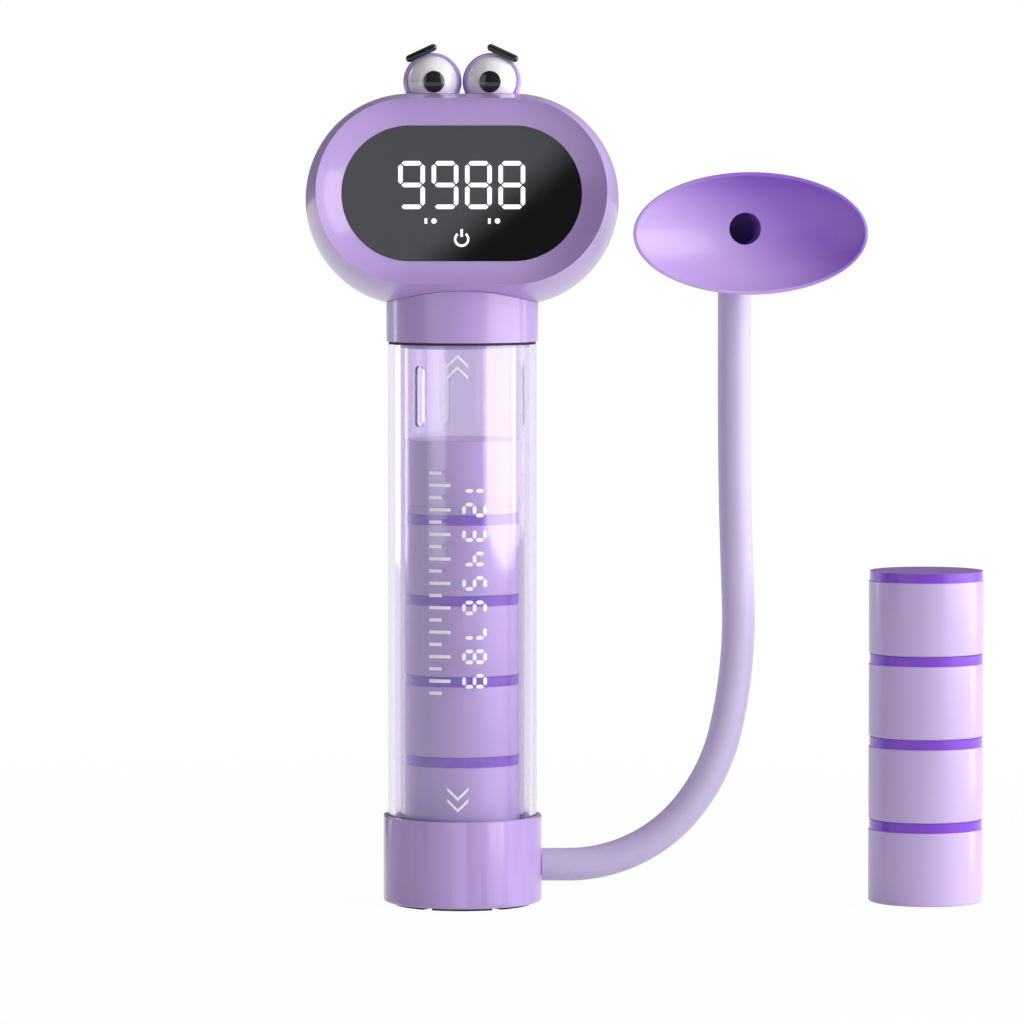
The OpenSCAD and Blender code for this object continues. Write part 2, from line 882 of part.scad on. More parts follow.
module top_bumper()
{
    color(near_white)
        ring(bumper_r, sensor_board_r + 2 * push_fit, collar_z - bumper_drop, collar_z - face_gap);
}

module sensor_board()
{
    color(board_green)
        translate([0, 0, collar_z + sensor_pocket_h - board_t - face_gap])
            cylinder(r = sensor_board_r, h = board_t);
}

module optical_sensors()
{
    top_z = collar_z + sensor_pocket_h - board_t - 2 * face_gap;
    color(near_black)
        for (side = [-1, 1])
            translate([side * sensor_x, 0, top_z - sensor_h]) {
                cylinder(r = sensor_r, h = sensor_h);
                sphere(r = sensor_r);
            }
}

// Head shells

// Places what is drawn round the head's middle
module head_pose()
{
    translate([0, 0, head_z])
        rotate([-head_tilt, 0, 0])
            children();
}

// Half section of the head at an inset: x is the radius, y is the depth to the front
module head_section(inset)
{
    turn = corner_end(inset);
    intersection() {
        translate([barrel_x, 0])
            circle(r = barrel_r - inset, $fn = 240);
        union() {
            translate([0, inset - head_back])
                square([corner_x, head_back + head_front]);
            translate([corner_x, corner_a])
                circle(r = head_corner_r - inset);
            polygon([
                [0, corner_a], [corner_x, corner_a], turn, [head_r + overrun, turn[1]],
                [head_r + overrun, head_front], [0, head_front]
            ]);
        }
    }
}

// Sweeps a half section round a stadium outline, with the section's y to the front
module stadium_sweep(flat)
{
    rotate([90, 0, 0]) {
        for (side = [-1, 1])
            translate([side * flat / 2, 0, 0])
                rotate([0, 0, -side * 90])
                    rotate_extrude(angle = 180)
                        children();
        rotate([90, 0, 90])
            linear_extrude(height = flat, center = true) {
                children();
                mirror([1, 0])
                    children();
            }
    }
}

module head_solid(inset)
{
    head_pose()
        stadium_sweep(head_flat)
            head_section(inset);
}

module neck_hole()
{
    cylinder(r = neck_r + push_fit, h = head_z);
}

module front_section()
{
    difference() {
        intersection() {
            head_section(0);
            square([head_r + overrun, head_front + overrun]);
        }
        translate(dish_c)
            circle(r = dish_r, $fn = 180);
        translate([0, window_a])
            square([dish_c[0], head_front]);
        polygon([
            tip_on_side, tip_on_side + tip_up, tip_on_dish + tip_up, tip_on_dish
        ]);
        translate([0, window_seat_a])
            square([window_r + window_fit, window_t + window_sink + overrun]);
        translate([0, -overrun])
            square([window_r - window_ledge_w, head_front]);
        difference() {
            intersection() {
                head_section(head_wall);
                translate([0, -overrun])
                    square([head_r, head_front]);
            }
            translate(dish_c)
                circle(r = dish_r + head_wall, $fn = 180);
            translate([0, window_ledge_a])
                square([window_r + head_wall, head_front]);
        }
    }
    translate(tip_c)
        circle(r = crease_fillet);
}

module rear_section()
{
    difference() {
        intersection() {
            head_section(0);
            translate([0, -head_back - overrun])
                square([head_r + overrun, head_back + overrun - face_gap]);
        }
        head_section(head_wall);
    }
    translate([tongue_r - tongue_t, -2 * tongue_h])
        square([tongue_t, 3 * tongue_h]);
    translate([tongue_r - tongue_t, -2 * tongue_h])
        square([tongue_t + 3 * push_fit, 2 * tongue_h - 2 * face_gap]);
}

// Places what is drawn at the four screws of the head
module at_head_screws()
{
    for (side_x = [-1, 1])
        for (side_z = [-1, 1])
            translate([side_x * boss_x, 0, side_z * boss_z])
                rotate([90, 0, 0])
                    children();
}

module head_front_shell()
{
    color(purple)
        difference() {
            union() {
                head_pose()
                    stadium_sweep(head_flat)
                        front_section();
                intersection() {
                    head_pose()
                        at_head_screws()
                            cylinder(r = boss_r, h = window_a);
                    head_solid(head_wall / 2);
                }
            }
            head_pose()
                at_head_screws()
                    cylinder(r = head_screw_r + face_gap, h = head_screw_len - head_screw_seat + overrun);
            neck_hole();
        }
}

module head_rear_shell()
{
    color(purple)
        difference() {
            union() {
                head_pose()
                    stadium_sweep(head_flat)
                        rear_section();
                intersection() {
                    head_pose() {
                        at_head_screws()
                            translate([0, 0, -head_back])
                                cylinder(r = boss_r, h = head_back - face_gap);
                        for (side_x = [-1, 1])
                            for (side_z = [-1, 1])
                                translate([side_x * post_x, head_back, side_z * post_z])
                                    rotate([90, 0, 0])
                                        cylinder(r = post_r, h = head_wall + main_board_post_h - face_gap);
                    }
                    head_solid(head_wall / 2);
                }
            }
            head_pose() {
                at_head_screws() {
                    translate([0, 0, -head_back - overrun])
                        cylinder(r = head_screw_r + push_fit, h = head_back + 2 * overrun);
                    translate([0, 0, -head_back - overrun])
                        cylinder(r = head_screw_head_r + push_fit, h = head_back - head_screw_seat + overrun);
                }
                translate([usb_x - usb_w / 2 - usb_fit, head_back - head_wall - overrun, -usb_h / 2 - usb_fit])
                    cube([usb_w + 2 * usb_fit, head_wall + 2 * overrun, usb_h + 2 * usb_fit]);
            }
            neck_hole();
        }
}

module head_screws()
{
    color(steel_grey)
        head_pose()
            at_head_screws()
                translate([0, 0, -face_gap - head_screw_seat - head_screw_head_h])
                    screw_up(head_screw_r, head_screw_head_r, head_screw_head_h, head_screw_len);
}

// Display

module display_window()
{
    color(near_black)
        head_pose()
            stadium_sweep(head_flat)
                translate([0, window_seat_a + face_gap])
                    square([window_r, window_t - face_gap]);
}

// Places an outline on the front of the window, x to the right and y up
module on_window()
{
    head_pose()
        translate([0, -window_a, 0])
            rotate([90, 0, 0])
                linear_extrude(height = mark_t)
                    children();
}

module digit_segments()
{
    row = (len(DIGITS) - 1) * digit_pitch;
    color(near_white)
        on_window()
            for (i = [0 : len(DIGITS) - 1])
                translate([i * digit_pitch - row / 2 - digit_w / 2, digit_rise - digit_h / 2])
                    digit(DIGITS[i], digit_h, digit_w, digit_stroke);
}

module indicator_marks()
{
    color(near_white)
        on_window() {
            for (side = [-1, 1])
                translate([side * mark_x, -mark_drop]) {
                    translate([-mark_pitch / 2, 0])
                        square([mark_size / 2, mark_size], center = true);
                    translate([mark_pitch / 2, 0])
                        circle(r = mark_size / 2);
                }
            translate([0, -key_drop]) {
                difference() {
                    circle(r = key_r);
                    circle(r = key_r - key_stroke);
                    polygon([
                        [0, 0], 2 * key_r * [-sin(key_gap_turn), cos(key_gap_turn)],
                        2 * key_r * [sin(key_gap_turn), cos(key_gap_turn)]
                    ]);
                }
                translate([-key_bar_w / 2, key_r - key_bar_h + key_stroke])
                    square([key_bar_w, key_bar_h]);
            }
        }
}

module display_board()
{
    color(board_green)
        head_pose()
            stadium_sweep(head_flat)
                translate([0, display_board_back_a])
                    square([display_board_r, board_t]);
}

module digit_module()
{
    color(near_white)
        head_pose()
            translate([-module_w / 2, face_gap - window_seat_a, digit_rise - module_h / 2])
                cube([module_w, module_t, module_h]);
}

module touch_spring()
{
    color(steel_grey)
        head_pose()
            translate([0, -display_board_a - face_gap, -key_drop])
                rotate([90, 0, 0])
                    difference() {
                        cylinder(r = touch_r, h = module_t);
                        translate([0, 0, -overrun])
                            cylinder(r = touch_r - touch_wire, h = module_t + 2 * overrun);
                    }
}

// Electronics behind the display

module main_board()
{
    color(board_green)
        head_pose()
            translate([-main_board_w / 2, -main_board_front_a, -main_board_h / 2])
                cube([main_board_w, board_t, main_board_h]);
}

module battery_cell()
{
    color(steel_grey)
        head_pose()
            translate([battery_x, -main_board_front_a - face_gap, 0])
                rotate([90, 0, 0])
                    linear_extrude(height = battery_t)
                        for (side = [0, 90]) {
                            long = side == 0 ? [battery_w, battery_h - 2 * battery_corner_r]
                                             : [battery_w - 2 * battery_corner_r, battery_h];
                            square(long, center = true);
                            for (sx = [-1, 1])
                                for (sy = [-1, 1])
                                    translate([sx * (battery_w / 2 - battery_corner_r),
                                               sy * (battery_h / 2 - battery_corner_r)])
                                        circle(r = battery_corner_r);
                        }
}

module usb_socket()
{
    depth = head_back + main_board_back_a - head_wall / 4;
    color(steel_grey)
        head_pose()
            translate([usb_x, -main_board_back_a + face_gap, 0])
                difference() {
                    translate([-usb_w / 2, 0, -usb_h / 2])
                        cube([usb_w, depth, usb_h]);
                    translate([-usb_w / 2 + usb_wall, 2 * usb_wall, -usb_h / 2 + usb_wall])
                        cube([usb_w - 2 * usb_wall, depth, usb_h - 2 * usb_wall]);
                }
}

module buzzer()
{
    color(near_black)
        head_pose()
            translate([buzzer_x, -main_board_front_a - face_gap, 0])
                rotate([90, 0, 0])
                    difference() {
                        cylinder(r = buzzer_r, h = buzzer_h);
                        translate([0, 0, buzzer_h / 2])
                            cylinder(r = screw_r, h = buzzer_h);
                    }
}

module ribbon_cable()
{
    color(near_white)
        head_pose()
            translate([ribbon_x - ribbon_w / 2, -display_board_back_a + face_gap, ribbon_z])
                cube([ribbon_w, display_board_back_a - main_board_front_a - 2 * face_gap, ribbon_t]);
}

// Eyes

module eye_pose(side)
{
    head_pose()
        translate([side * eye_x, -eye_forward, eye_z])
            children();
}

// Ball whose pole stands square on the head's top
module eye_ball(radius)
{
    rotate([eye_lean, 0, 0])
        sphere(r = radius);
}

module eye_shells()
{
    color(purple)
        for (side = [-1, 1])
            difference() {
                eye_pose(side)
                    difference() {
                        eye_ball(eye_r);
                        eye_ball(eye_r - eye_shell_t);
                        translate([-2 * eye_r, -2 * eye_r - eye_open, -2 * eye_r])
                            cube([4 * eye_r, 2 * eye_r, 4 * eye_r]);
                    }
                head_solid(-seam_gap);
            }
}

module eyeballs()
{
    color(near_white)
        for (side = [-1, 1])
            difference() {
                eye_pose(side)
                    eye_ball(eyeball_r);
                head_solid(-seam_gap);
            }
}

module pupils()
{
    color(near_black)
        for (side = [-1, 1])
            eye_pose(side)
                intersection() {
                    difference() {
                        sphere(r = eyeball_r + pupil_t);
                        sphere(r = eyeball_r + face_gap);
                    }
                    translate([side * (pupil_x - eye_x), 0, -pupil_drop])
                        rotate([90, 0, 0])
                            cylinder(r = pupil_r, h = 2 * eye_r);
                }
}

module brows()
{
    half = brow_len / 2 - brow_r;
    lift = eye_r + brow_r;
    forward = sqrt(pow(lift, 2) - pow(brow_x, 2) - pow(brow_z, 2));
    color(near_black)
        for (side = [-1, 1])
            eye_pose(side)
                difference() {
                    translate([side * brow_x, -forward, brow_z])
                        rotate([0, side * brow_slope, 0]) {
                            rotate([0, 90, 0])
                                cylinder(r = brow_r, h = 2 * half, center = true);
                            for (end = [-1, 1])
                                translate([end * half, 0, 0])
                                    sphere(r = brow_r);
                        }
                    sphere(r = eye_r + face_gap);
                }
}

// Weights, each drawn with its foot at the origin

module weight_shell(pitch)
{
    difference() {
        rotate_extrude()
            turned_section(weight_r, 0, pitch - disc_t, weight_foot_fillet, weight_top_fillet);
        translate([0, 0, weight_floor])
            cylinder(r = weight_r - weight_wall, h = pitch);
    }
}

module weight_disc(pitch)
{
    translate([0, 0, pitch - disc_t])
        cylinder(r = weight_r - disc_inset, h = disc_t - face_gap);
    translate([0, 0, pitch - disc_t - disc_plug])
        cylinder(r = slug_r, h = disc_plug + face_gap);
}

module weight_slug(pitch)
{
    translate([0, 0, weight_floor])
        cylinder(r = slug_r, h = pitch - disc_t - disc_plug - weight_floor - face_gap);
}

module tube_weight(number)
{
    color(pale_purple)
        translate([0, 0, rest_z + (number - 1) * weight_h])
            weight_shell(weight_h);
}

module tube_discs()
{
    color(deep_purple)
        for (i = [0 : tube_weights - 1])
            translate([0, 0, rest_z + i * weight_h])
                weight_disc(weight_h);
}

module tube_slugs()
{
    color(steel_grey)
        for (i = [0 : tube_weights - 1])
            translate([0, 0, rest_z + i * weight_h])
                weight_slug(weight_h);
}

module piston_head()
{
    color(pale_purple)
        translate([0, 0, piston_z])
            difference() {
                rotate_extrude()
                    turned_section(weight_r, 0, piston_h, weight_foot_fillet, weight_top_fillet);
                translate([0, 0, -overrun])
                    cylinder(r = weight_r - 2 * piston_wall, h = piston_h - piston_wall + overrun);
                ring(weight_r + overrun, weight_r - piston_wall + push_fit, piston_seal_h,
                     2 * piston_seal_h + 2 * face_gap);
            }
}

module piston_seal()
{
    color(near_white)
        ring(sleeve_bore_r - piston_seal_gap, weight_r - piston_wall + 2 * push_fit,
             piston_z + piston_seal_h + face_gap, piston_z + 2 * piston_seal_h + face_gap);
}

module at_spare(number)
{
    translate([spare_x, spare_back, (number - 1) * spare_h])
        children();
}

module spare_weight(number)
{
    color(pale_purple)
        at_spare(number)
            weight_shell(spare_h);
}

module spare_disc(number)
{
    color(deep_purple)
        at_spare(number)
            weight_disc(spare_h);
}

module spare_slug(number)
{
    color(steel_grey)
        at_spare(number)
            weight_slug(spare_h);
}

// Hose

// Bend from a place and heading, run past both its ends by a lap
module hose_bend(start, bend, radius, lap)
{
    side = sign(bend[1]);
    more = lap / bend[0] * 180 / PI;
    translate([start[0] - side * bend[0] * sin(start[2]), 0, start[1] + side * bend[0] * cos(start[2])])
        rotate([90, 0, 0])
            rotate([0, 0, (side > 0 ? start[2] - 90 : start[2] + 90 + bend[1]) - more])
                rotate_extrude(angle = abs(bend[1]) + 2 * more, $fn = 240)
                    translate([bend[0], 0])
                        circle(r = radius, $fn = 36);
}

// Rod of a radius along the hose's whole route, past both ends by some length. Every
// other piece is a hair thicker and takes the ends of its thinner neighbours.
module hose_rod(radius, past)
{
    translate([hose_start_x + hose_seam - past, 0, hose_z])
        rotate([0, 90, 0])
            cylinder(r = radius, h = hose_lead + past + hose_lap, $fn = 36);
    for (i = [0 : len(hose_bends) - 1])
        hose_bend(bend_start(i), hose_bends[i], radius + (i % 2 == 0 ? hose_step : 0),
                  i % 2 == 0 ? 0 : hose_lap);
    translate([hose_end_x, 0, hose_last[1]])
        cylinder(r = radius + hose_step, h = hose_neck + past, $fn = 36);
}

module hose()
{
    color(soft_purple)
        difference() {
            hose_rod(hose_r, 0);
            hose_rod(hose_bore_r, overrun);
        }
}

// Mouthpiece

// Places what is drawn round the port, with z to the front and y up
module port_pose()
{
    translate([hose_end_x, 0, port_z])
        rotate([0, 0, mouth_yaw])
            rotate([90, 0, 0])
                children();
}

// Rod of a radius that comes up from a height, bends forward and runs to a reach
module elbow_rod(radius, low_z, reach)
{
    translate([hose_end_x, 0, port_z])
        rotate([0, 0, mouth_yaw]) {
            translate([0, 0, low_z - port_z])
                cylinder(r = radius, h = port_z - elbow_bend_r - low_z);
            translate([0, -elbow_bend_r, -elbow_bend_r])
                rotate([90, 0, 90])
                    rotate_extrude(angle = 90)
                        translate([elbow_bend_r, 0])
                            circle(r = radius);
            rotate([90, 0, 0])
                translate([0, 0, elbow_bend_r])
                    cylinder(r = radius, h = reach - elbow_bend_r);
        }
}

module mouth_elbow()
{
    color(pale_purple)
        difference() {
            union() {
                elbow_rod(elbow_r, elbow_z, socket_end - face_gap);
                translate([hose_end_x, 0, hose_end_z - mouth_spigot_len])
                    cylinder(r = spigot_r, h = mouth_spigot_len + elbow_floor);
            }
            elbow_rod(port_r, elbow_z + elbow_floor, socket_end + overrun);
            translate([hose_end_x, 0, hose_end_z - mouth_spigot_len - overrun])
                cylinder(r = spigot_r - spigot_wall, h = mouth_spigot_len + 2 * elbow_floor + overrun);
        }
}

module mouth_funnel()
{
    cone_h = bowl_depth + 2 * bowl_wall;
    color(purple)
        port_pose()
            difference() {
                union() {
                    translate([0, -bowl_drop, bowl_back])
                        intersection() {
                            translate([0, 0, bowl_out_r - bowl_wall])
                                scale([bowl_aspect, 1, 1])
                                    sphere(r = bowl_out_r, $fn = 120);
                            translate([0, 0, bowl_depth - cone_h])
                                scale([bowl_aspect, 1, 1])
                                    cylinder(r1 = bowl_half_h + cone_h, r2 = bowl_half_h - rim_chamfer,
                                             h = cone_h, $fn = 120);
                        }
                    translate([0, 0, funnel_neck_back])
                        cylinder(r = socket_r + neck_wall, h = bowl_back - funnel_neck_back + bowl_wall);
                }
                translate([0, -bowl_drop, bowl_back + bowl_in_r])
                    scale([bowl_in_aspect, 1, 1])
                        sphere(r = bowl_in_r, $fn = 120);
                translate([0, 0, funnel_neck_back - overrun])
                    cylinder(r = port_r, h = bowl_reach);
                translate([0, 0, funnel_neck_back - overrun])
                    cylinder(r = socket_r, h = socket_end - funnel_neck_back + overrun);
            }
}

base_cup();
base_plate();
foot_sole();
base_screws();
tube_seat();
seat_o_ring();
landing_ring();
inlet_filter();
inner_tube();
tube_gasket();
hose_spigot();
outer_tube();
tube_scale();
flow_arrows();
neck_seal();
neck_collar();
top_bumper();
sensor_board();
optical_sensors();
head_front_shell();
head_rear_shell();
display_window();
digit_segments();
indicator_marks();
display_board();
digit_module();
touch_spring();
main_board();
battery_cell();
usb_socket();
buzzer();
ribbon_cable();
head_screws();
eye_shells();
eyeballs();
pupils();
brows();
piston_head();
piston_seal();
tube_weight(1);  // tube_weight_1
tube_weight(2);  // tube_weight_2
tube_weight(3);  // tube_weight_3
tube_weight(4);  // tube_weight_4
tube_discs();
tube_slugs();
hose();
mouth_elbow();
mouth_funnel();
spare_weight(1);  // spare_weight_1
spare_weight(2);  // spare_weight_2
spare_weight(3);  // spare_weight_3
spare_weight(4);  // spare_weight_4
spare_disc(1);  // spare_disc_1
spare_disc(2);  // spare_disc_2
spare_disc(3);  // spare_disc_3
spare_disc(4);  // spare_disc_4
spare_slug(1);  // spare_slug_1
spare_slug(2);  // spare_slug_2
spare_slug(3);  // spare_slug_3
spare_slug(4);  // spare_slug_4
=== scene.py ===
"""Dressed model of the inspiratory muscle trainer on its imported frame"""
import math

import bpy
from bpy.props import FloatProperty, FloatVectorProperty, IntProperty, PointerProperty
from mathutils import Matrix, Vector


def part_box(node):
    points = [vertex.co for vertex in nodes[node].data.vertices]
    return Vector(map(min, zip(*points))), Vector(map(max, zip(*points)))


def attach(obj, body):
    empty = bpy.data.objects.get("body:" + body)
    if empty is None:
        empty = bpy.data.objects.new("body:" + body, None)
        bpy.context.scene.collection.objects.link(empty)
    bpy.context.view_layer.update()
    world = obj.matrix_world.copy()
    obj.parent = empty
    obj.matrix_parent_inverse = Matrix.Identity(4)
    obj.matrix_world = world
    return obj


bl_info = {
    "name": "Inspiratory muscle trainer",
    "version": (1, 0, 0),
    "blender": (4, 5, 0),
    "location": "View3D > Sidebar > Trainer",
    "description": "Builds the finishes and the fine pieces of a breathing trainer on its frame",
    "category": "Add Mesh",
}

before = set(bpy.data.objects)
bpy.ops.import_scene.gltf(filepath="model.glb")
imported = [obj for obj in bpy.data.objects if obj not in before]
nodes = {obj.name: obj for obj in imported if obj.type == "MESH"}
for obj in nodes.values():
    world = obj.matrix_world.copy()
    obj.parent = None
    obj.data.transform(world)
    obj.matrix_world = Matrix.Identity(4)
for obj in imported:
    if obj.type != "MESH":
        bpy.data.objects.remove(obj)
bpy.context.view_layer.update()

# Directions and lengths of the painted reflection on the window and of the painted shade in the mouthpiece, in
# metres on the pieces at rest
WINDOW_REFLECTION_MIDDLE = (0.0087, 0.0, 0.207)
WINDOW_REFLECTION_SLANT = (-0.62, 0.0, 0.78)
WINDOW_REFLECTION_FADE = 0.007
BOWL_SHADE_SLANT = (0.62, 0.0, 0.78)
BOWL_SHADE_FADE = 0.016
STREAKS = (420, 420, 6)
BUMP_DEPTH = 0.0004
WELD_GAP = 0.000002
CLEAR_TUBES = {"outer_tube": ("clear_tube", 0.03), "inner_tube": ("clear_sleeve", 0.05)}
LIT_STRENGTH = 0.55

# Place and size of each lamp, and the property that holds its power
LAMPS = {
    "side_lamp": ((1.4, -0.35, 0.42), (2.3, 1.6), "key"),
    "strip_lamp": ((-1.0, -1.15, 0.38), (0.8, 1.3), "front"),
    "top_lamp": ((0.1, -0.3, 1.7), (1.2, 1.0), "top"),
    "edge_lamp": ((-1.27, 0.8, 0.35), (0.2, 1.4), "rim"),
}
FLOOR_SIZE = 14
FLOOR_FADE = (0.22, 0.6)
FLOOR_WHITE = (0.97, 1.0)
ROOM_REACH = 0.9
ROOM_LEFT = 0.3
ROOM_RIGHT = 3
SENSOR_WIDTH = 36
VIEW_DEPTH = 50


def linear(red, green, blue):
    """Linear colour of an 8-bit screen colour"""
    shares = []
    for value in (red, green, blue):
        share = value / 255
        shares.append(share / 12.92 if share <= 0.04045 else ((share + 0.055) / 1.055) ** 2.4)
    return shares


def colour(name, description, red, green, blue):
    """Colour property with a default given as a screen colour"""
    return FloatVectorProperty(name=name, description=description, subtype="COLOR", size=3, min=0, max=1,
                               default=linear(red, green, blue))


class TrainerColours(bpy.types.PropertyGroup):
    """Colours of the moulded, clear and printed pieces"""
    shell: colour("Shell", "Head shells, neck, eye shells and base cup", 188, 159, 222)
    weight: colour("Weight", "Weights and piston head", 200, 177, 227)
    disc: colour("Disc", "Discs between the weights", 122, 44, 206)
    hose: colour("Hose", "Breathing hose", 203, 189, 225)
    # Mouthpiece colours: a painted shade that fades from the lit tone at the lower left to a darker one at the
    # upper right
    bowl: colour("Mouthpiece", "Oval mouthpiece, low on its left", 194, 164, 228)
    bowl_painted_shade: colour("Mouthpiece depth", "Oval mouthpiece, high on its right", 138, 94, 198)
    elbow: colour("Elbow", "Elbow behind the mouthpiece", 160, 126, 208)
    clear: colour("Clear plastic", "Tint of the outer tube and the sleeve", 238, 232, 246)
    # The window's light corner is a painted reflection: its colour fades from Window to Window corner towards
    # the upper corner
    window_low: colour("Window", "Smoked window away from its light corner", 5, 5, 6)
    window_reflection: colour("Window corner", "Light corner of the smoked window", 80, 81, 84)
    lit: colour("Lit marks", "Digits and marks that shine", 244, 247, 250)
    print_white: colour("Print", "Scale and arrows on the tube", 246, 244, 250)
    eye: colour("Eye", "Eyeballs", 240, 238, 242)
    black: colour("Black", "Pupils, brows and black rubber", 9, 9, 11)
    board: colour("Board", "Circuit boards", 22, 92, 58)
    steel: colour("Steel", "Screws, springs, slugs and socket", 186, 188, 192)
    felt: colour("Felt", "Filter over the air inlet", 232, 230, 226)
    silicone: colour("Silicone", "Landing ring and top bumper", 236, 234, 240)
    white: colour("White", "Digit module and ribbon cable", 232, 231, 234)
    foil: colour("Foil", "Wrapping of the cell", 200, 201, 205)
    gold: colour("Gold", "Contacts of the charging socket", 214, 170, 84)


class TrainerStage(bpy.types.PropertyGroup):
    """Camera and lamps"""
    distance: FloatProperty(name="Distance", description="Distance of the camera in front of the trainer",
                            default=1.85, unit="LENGTH")
    eye_level: FloatProperty(name="Eye level", description="Height of the camera", default=0.226, unit="LENGTH")
    aim_x: FloatProperty(name="Aim across", description="Where the picture's middle lies across",
                         default=0.0149, unit="LENGTH")
    aim_z: FloatProperty(name="Aim up", description="Height of the picture's middle", default=0.1179,
                         unit="LENGTH")
    width: FloatProperty(name="Picture width", description="Width that the picture shows at the trainer",
                         default=0.3072, unit="LENGTH")
    key: FloatProperty(name="Side lamp", description="Power of the large soft lamp on the right", default=44.0)
    front: FloatProperty(name="Strip lamp", description="Power of the tall lamp at the left front", default=3.4)
    top: FloatProperty(name="Top lamp", description="Power of the soft lamp overhead", default=2.4)
    rim: FloatProperty(name="Edge lamp", description="Power of the narrow lamp at the left", default=4.0)
    fill: FloatProperty(name="Fill", description="Brightness of the room round the trainer", default=0.15)


class TrainerDetail(bpy.types.PropertyGroup):
    """Sizes of the fine pieces"""
    edge_angle: FloatProperty(name="Edge angle", description="Angle past which an edge stays sharp",
                              default=math.radians(28), subtype="ANGLE")
    head_z: FloatProperty(name="Head height", description="Height of the head's middle", default=0.2114,
                          unit="LENGTH")
    head_tilt: FloatProperty(name="Head tilt", description="Backward tilt of the head",
                             default=math.radians(6.5), subtype="ANGLE")
    tongue: FloatVectorProperty(name="Tongue", description="Width, depth and thickness of the socket's tongue",
                                size=3, default=(0.0067, 0.0038, 0.0007))
    tongue_back: FloatProperty(name="Tongue place", description="How far the tongue is behind the head's middle",
                               default=0.0233, unit="LENGTH")
    tongue_edge: FloatProperty(name="Tongue edge", description="Bevel of the tongue", default=0.00012,
                               unit="LENGTH")
    contact: FloatVectorProperty(name="Contact", description="Width, depth and thickness of a contact", size=3,
                                 default=(0.00025, 0.00228, 0.00012))
    contact_back: FloatProperty(name="Contact place", description="How far the contacts are behind the tongue",
                                default=0.0003, unit="LENGTH")
    contact_edge: FloatProperty(name="Contact edge", description="Bevel of a contact", default=0.00002,
                                unit="LENGTH")
    contact_pitch: FloatProperty(name="Contact pitch", description="Pitch of the contacts on the tongue",
                                 default=0.0005, unit="LENGTH")
    contact_count: IntProperty(name="Contacts", description="Number of contacts on the tongue", default=12)


# Node groups and materials

def put(tree, kind, values=None, **settings):
    """Shader node with its settings and the values of its sockets"""
    node = tree.nodes.new("ShaderNode" + kind)
    for name, value in settings.items():
        setattr(node, name, value)
    for socket, value in (values or {}).items():
        node.inputs[socket].default_value = value
    return node


def new_material(name, base, alpha=1):
    """Material of a plain colour; returns it with its node tree and its Principled shader"""
    made = bpy.data.materials.new(name)
    made.use_nodes = True
    made.diffuse_color = (*base, alpha)
    return made, made.node_tree, made.node_tree.nodes["Principled BSDF"]


def dimmed(base, share):
    """Colour with an alpha at a share of its brightness"""
    return (*[value * share for value in base], 1)


def moulded_group():
    """Moulded surface: cloudy tone, fine grain in the gloss, and a height for the bump"""
    found = bpy.data.node_groups.get("moulded_surface")
    if found:
        return found
    group = bpy.data.node_groups.new("moulded_surface", "ShaderNodeTree")
    inputs = (("Color", "NodeSocketColor", (0.5, 0.5, 0.5, 1)), ("Shade", "NodeSocketColor", (0.4, 0.4, 0.4, 1)),
              ("Clouds", "NodeSocketFloat", 24.0), ("Grain", "NodeSocketFloat", 2600.0),
              ("Roughness", "NodeSocketFloat", 0.35), ("Spread", "NodeSocketFloat", 0.08))
    for label, kind, value in inputs:
        group.interface.new_socket(label, in_out="INPUT", socket_type=kind).default_value = value
    outputs = (("Color", "NodeSocketColor"), ("Roughness", "NodeSocketFloat"), ("Height", "NodeSocketFloat"))
    for label, kind in outputs:
        group.interface.new_socket(label, in_out="OUTPUT", socket_type=kind)
    source = group.nodes.new("NodeGroupInput")
    sink = group.nodes.new("NodeGroupOutput")
    source.location, sink.location = (-700, 0), (500, 0)
    place = put(group, "TexCoord")
    clouds = put(group, "TexNoise", {"Detail": 3})
    grain = put(group, "TexNoise", {"Detail": 2})
    mix = put(group, "Mix", data_type="RGBA")
    gloss = put(group, "Math", operation="MULTIPLY_ADD")
    level = put(group, "Math", {1: 0.5}, operation="SUBTRACT")
    link = group.links.new
    link(place.outputs["Object"], clouds.inputs["Vector"])
    link(place.outputs["Object"], grain.inputs["Vector"])
    link(source.outputs["Clouds"], clouds.inputs["Scale"])
    link(source.outputs["Grain"], grain.inputs["Scale"])
    link(clouds.outputs["Fac"], mix.inputs["Factor"])
    link(source.outputs["Shade"], mix.inputs["A"])
    link(source.outputs["Color"], mix.inputs["B"])
    link(clouds.outputs["Fac"], level.inputs[0])
    link(level.outputs[0], gloss.inputs[0])
    link(source.outputs["Spread"], gloss.inputs[1])
    link(source.outputs["Roughness"], gloss.inputs[2])
    link(mix.outputs["Result"], sink.inputs["Color"])
    link(gloss.outputs[0], sink.inputs["Roughness"])
    link(grain.outputs["Fac"], sink.inputs["Height"])
    return group


def moulded(name, base, shade=0.9, rough=0.35, spread=0.1, clouds=24.0, grain=2600.0, bump=0.02, coat=0.0,
            metal=0.0, sheen=0.0):
    """Material with the moulded surface's clouds and grain"""
    made, tree, shader = new_material(name, base)
    surface = tree.nodes.new("ShaderNodeGroup")
    surface.node_tree = moulded_group()
    surface.location = (-600, 0)
    looks = {"Color": (*base, 1), "Shade": dimmed(base, shade), "Clouds": clouds, "Grain": grain,
             "Roughness": rough, "Spread": spread}
    for socket, value in looks.items():
        surface.inputs[socket].default_value = value
    relief = put(tree, "Bump", {"Strength": bump, "Distance": BUMP_DEPTH}, location=(-250, -250))
    link = tree.links.new
    link(surface.outputs["Color"], shader.inputs["Base Color"])
    link(surface.outputs["Roughness"], shader.inputs["Roughness"])
    link(surface.outputs["Height"], relief.inputs["Height"])
    link(relief.outputs["Normal"], shader.inputs["Normal"])
    shader.inputs["Metallic"].default_value = metal
    shader.inputs["Coat Weight"].default_value = coat
    shader.inputs["Coat Roughness"].default_value = 0.08
    shader.inputs["Sheen Weight"].default_value = sheen
    return made


